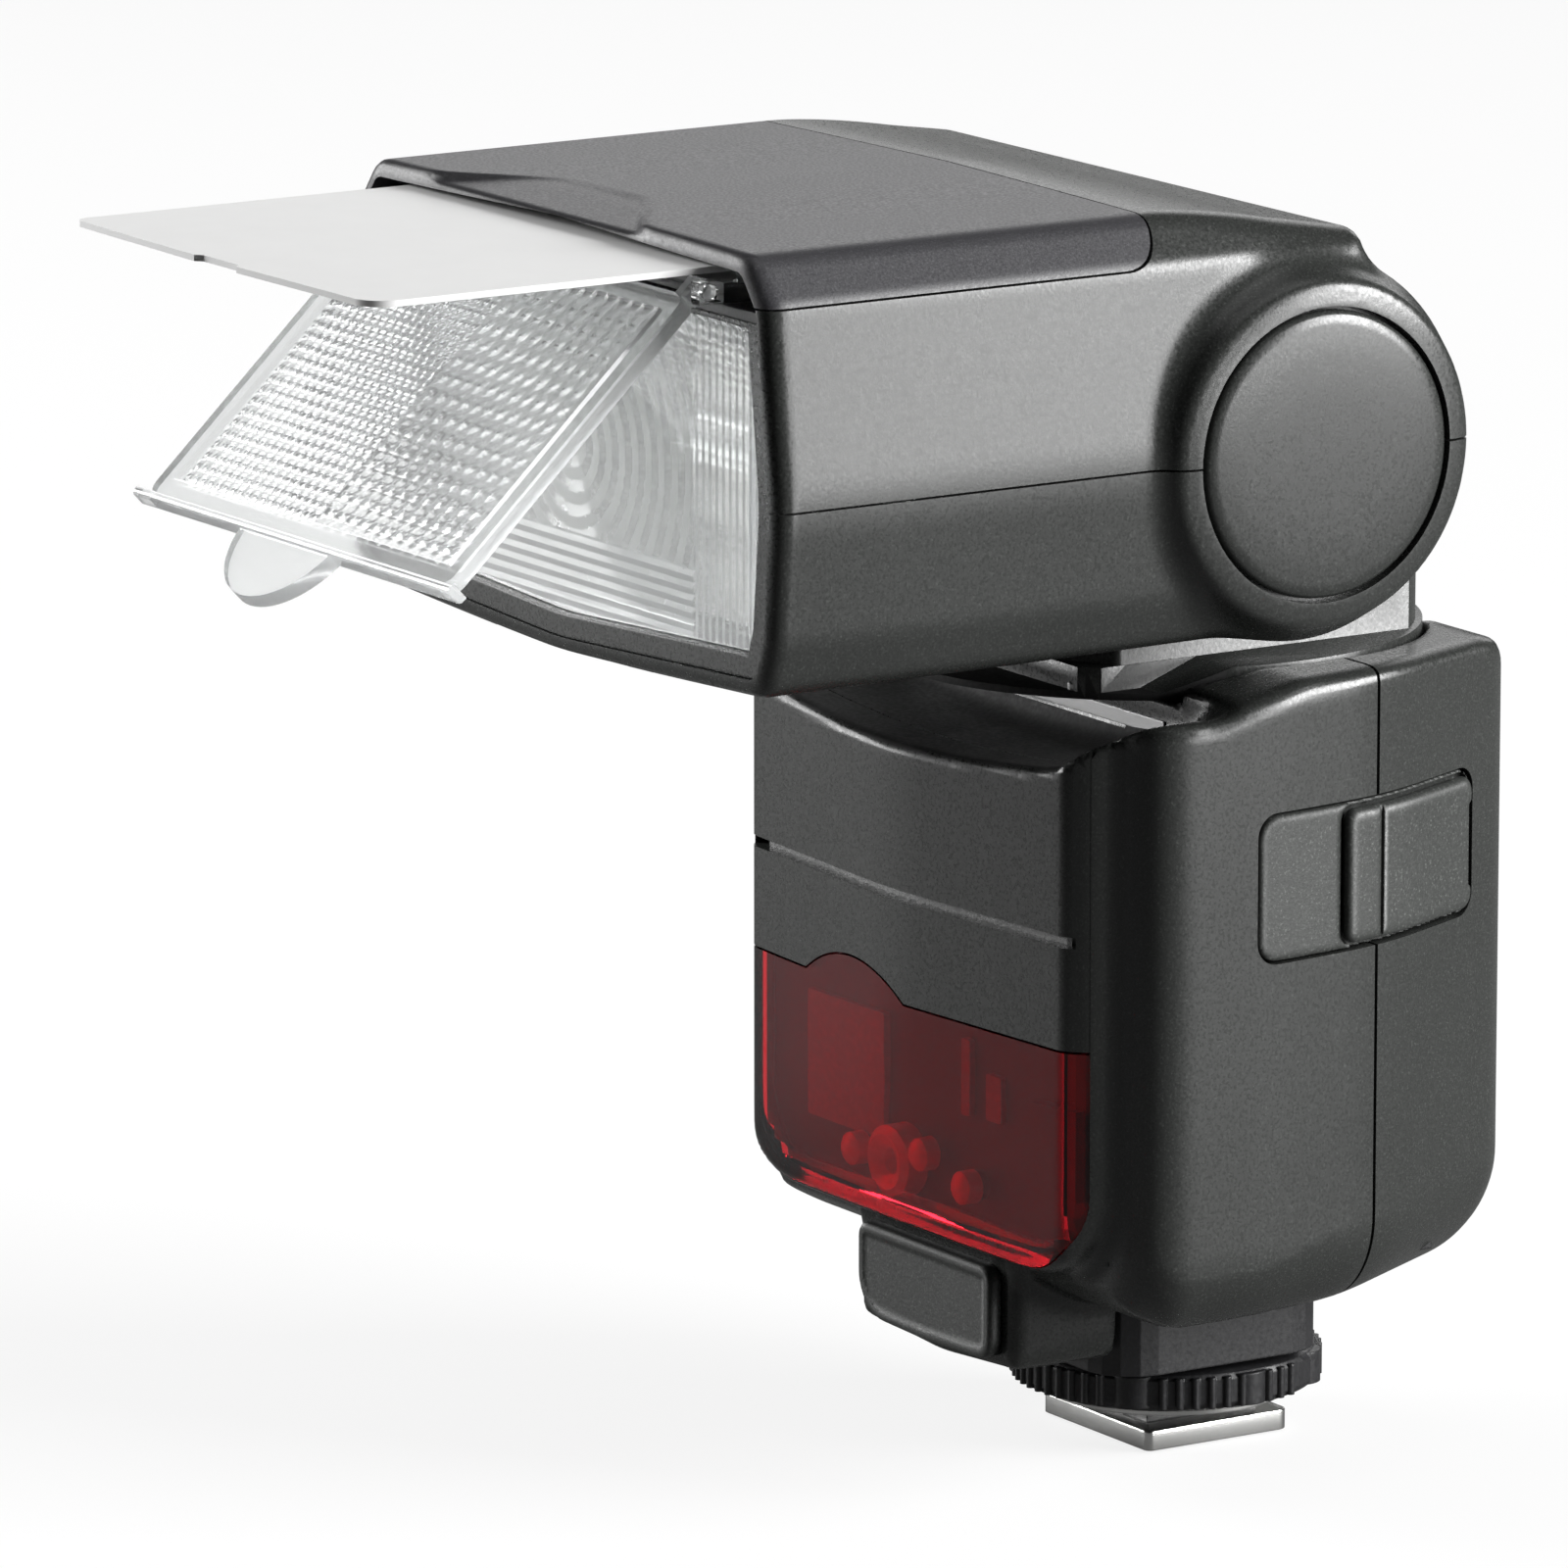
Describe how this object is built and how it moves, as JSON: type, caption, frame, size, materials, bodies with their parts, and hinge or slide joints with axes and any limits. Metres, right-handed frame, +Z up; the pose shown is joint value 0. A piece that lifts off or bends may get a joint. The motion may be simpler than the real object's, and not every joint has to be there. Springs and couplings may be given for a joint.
{
  "type": "speedlight flash",
  "caption": "Camera-top flash with a tilting and swivelling zoom head, pull-out white card and wide panel, red window, rear controls and a locking shoe foot.",
  "frame": {"origin": "centre of the foot plate's underside", "axes": "+Z up from the foot, -Y the way the lamp fires, +X to the right seen from the front"},
  "size_m": [0.0836, 0.1354, 0.129],
  "materials": {
    "charcoal_shell": "fine speckled matt charcoal",
    "black_plastic": "fine matt black",
    "soft_rubber": "speckled matt rubber",
    "red_clear": "polished dark red",
    "clear_plastic": "moulded clear plastic with prisms",
    "white_card": "smooth white",
    "bright_plate": "bright plated steel",
    "steel": "machined",
    "gold_contact": "plated",
    "mirror_coat": "bright dimpled reflector",
    "board": "green board",
    "capacitor_sleeve": "shrunk sleeve",
    "cell_sleeve": "plain sleeve",
    "dark_screen": "polished",
    "display": "grey-green display"
  },
  "bodies": {
    "body": {"foot_plate": "bright_plate", "foot_stem": "black_plastic", "foot_contacts": "gold_contact", "base_block": "black_plastic", "front_shell": "charcoal_shell", "rear_shell": "charcoal_shell", "front_panel": "charcoal_shell", "red_window": "red_clear", "focus_lamp": "red_clear", "charge_socket": "black_plastic", "side_cover": "soft_rubber", "sync_socket": "gold_contact", "power_socket": "black_plastic", "battery_cage": "black_plastic", "battery_cells": "cell_sleeve", "battery_contacts": "gold_contact", "main_board": "board", "flash_capacitor": "capacitor_sleeve", "rear_board": "board", "screen": "display", "screen_window": "dark_screen", "control_panel": "dark_screen", "swivel_plate": "steel", "case_screws": "steel"},
    "turret": {"turret": "charcoal_shell", "swivel_shaft": "steel", "swivel_clip": "steel", "tilt_shafts": "steel"},
    "head": {"head_lower_shell": "charcoal_shell", "head_upper_shell": "charcoal_shell", "head_lid": "charcoal_shell", "head_caps": "charcoal_shell", "front_bezel": "charcoal_shell", "lens": "clear_plastic", "slot_tray": "black_plastic", "panel_carrier": "clear_plastic", "guide_rods": "steel", "zoom_motor": "steel"},
    "zoom_carriage": {"zoom_carriage": "black_plastic", "reflector": "mirror_coat", "flash_tube": "clear_plastic"},
    "locking_pin": {"locking_pin": "bright_plate"},
    "lock_press": {"lock_washer": "bright_plate"},
    "lock_ring": {"lock_ring": "black_plastic"},
    "charge_flap": {"charge_flap": "soft_rubber"},
    "side_flap": {"side_flap": "soft_rubber"},
    "battery_door": {"battery_door": "charcoal_shell"},
    "door_latch": {"door_latch": "black_plastic"},
    "control_dial": {"control_dial": "charcoal_shell"},
    "set_button": {"set_button": "charcoal_shell"},
    "power_switch": {"power_switch": "charcoal_shell"},
    "key_1": {"key_1": "charcoal_shell"},
    "key_2": {"key_2": "charcoal_shell"},
    "key_3": {"key_3": "charcoal_shell"},
    "key_4": {"key_4": "charcoal_shell"},
    "mode_button": {"mode_button": "charcoal_shell"},
    "test_button": {"test_button": "black_plastic"},
    "bounce_card": {"bounce_card": "white_card"},
    "wide_panel": {"wide_panel": "clear_plastic"},
    "zoom_screw": {"zoom_screw": "steel"}
  },
  "joints": [
    {"name": "head_swivel", "type": "hinge", "parent": "body", "child": "turret", "pos_m": [0, -0.003, 0.0817], "axis": [0, 0, 1], "range_deg": [-180, 180]},
    {"name": "head_tilt", "type": "hinge", "parent": "turret", "child": "head", "pos_m": [0, -0.0105, 0.1047], "axis": [-1, 0, 0], "range_deg": [-7, 90]},
    {"name": "card_slide", "type": "slide", "parent": "head", "child": "bounce_card", "axis": [0, 1, 0], "range_m": [0, 0.0365]},
    {"name": "panel_hinge", "type": "hinge", "parent": "head", "child": "wide_panel", "pos_m": [0, -0.0716, 0.12415], "axis": [1, 0, 0], "range_deg": [-43.3, 44.7]},
    {"name": "zoom_travel", "type": "slide", "parent": "head", "child": "zoom_carriage", "axis": [0, 1, 0], "range_m": [-0.005, 0.01]},
    {"name": "zoom_spin", "type": "hinge", "parent": "head", "child": "zoom_screw", "pos_m": [0.0327, -0.0299, 0.0919], "axis": [0, 1, 0], "range_deg": [-600, 1200]},
    {"name": "lock_drop", "type": "slide", "parent": "body", "child": "lock_press", "axis": [0, 0, -1], "range_m": [0, 0.0008]},
    {"name": "lock_turn", "type": "hinge", "parent": "lock_press", "child": "lock_ring", "pos_m": [0, 0, 0.0045], "axis": [0, 0, -1], "range_deg": [0, 90]},
    {"name": "pin_drop", "type": "slide", "parent": "body", "child": "locking_pin", "axis": [0, 0, -1], "range_m": [0, 0.0016]},
    {"name": "charge_flap_hinge", "type": "hinge", "parent": "body", "child": "charge_flap", "pos_m": [0, -0.0289, 0.0121], "axis": [1, 0, 0], "range_deg": [0, 110]},
    {"name": "side_flap_hinge", "type": "hinge", "parent": "body", "child": "side_flap", "pos_m": [0.03534, -0.0034, 0.0546], "axis": [0, 0, -1], "range_deg": [0, 100]},
    {"name": "battery_door_hinge", "type": "hinge", "parent": "body", "child": "battery_door", "pos_m": [-0.036, -0.01715, 0.02275], "axis": [0, 0, 1], "range_deg": [0, 95]},
    {"name": "door_latch_slide", "type": "slide", "parent": "battery_door", "child": "door_latch", "axis": [0.33, 0.944, 0], "range_m": [0, 0.0025]},
    {"name": "dial_spin", "type": "hinge", "parent": "body", "child": "control_dial", "pos_m": [0, 0.0257, 0.0382], "axis": [0, 1, 0], "continuous": true},
    {"name": "power_slide", "type": "slide", "parent": "body", "child": "power_switch", "axis": [0, 0, 1], "range_m": [0, 0.0035]},
    {"name": "set_press", "type": "slide", "parent": "body", "child": "set_button", "axis": [0, -1, 0], "range_m": [0, 0.0005], "stiffness_N_per_m": 300, "springref_m": -0.0015},
    {"name": "key_1_press", "type": "slide", "parent": "body", "child": "key_1", "axis": [0, -1, 0], "range_m": [0, 0.0005], "stiffness_N_per_m": 300, "springref_m": -0.0015},
    {"name": "key_2_press", "type": "slide", "parent": "body", "child": "key_2", "axis": [0, -1, 0], "range_m": [0, 0.0005], "stiffness_N_per_m": 300, "springref_m": -0.0015},
    {"name": "key_3_press", "type": "slide", "parent": "body", "child": "key_3", "axis": [0, -1, 0], "range_m": [0, 0.0005], "stiffness_N_per_m": 300, "springref_m": -0.0015},
    {"name": "key_4_press", "type": "slide", "parent": "body", "child": "key_4", "axis": [0, -1, 0], "range_m": [0, 0.0005], "stiffness_N_per_m": 300, "springref_m": -0.0015},
    {"name": "mode_press", "type": "slide", "parent": "body", "child": "mode_button", "axis": [0, -1, 0], "range_m": [0, 0.0005], "stiffness_N_per_m": 300, "springref_m": -0.0015},
    {"name": "test_press", "type": "slide", "parent": "body", "child": "test_button", "axis": [0, -1, 0], "range_m": [0, 0.0005], "stiffness_N_per_m": 300, "springref_m": -0.0015}
  ],
  "couplings": [
    {"joint": "zoom_spin", "follows": "zoom_travel", "rad_per_m": 2094.4},
    {"joint": "lock_turn", "follows": "lock_drop", "rad_per_m": 1963.5},
    {"joint": "pin_drop", "follows": "lock_drop", "ratio": 2}
  ]
}
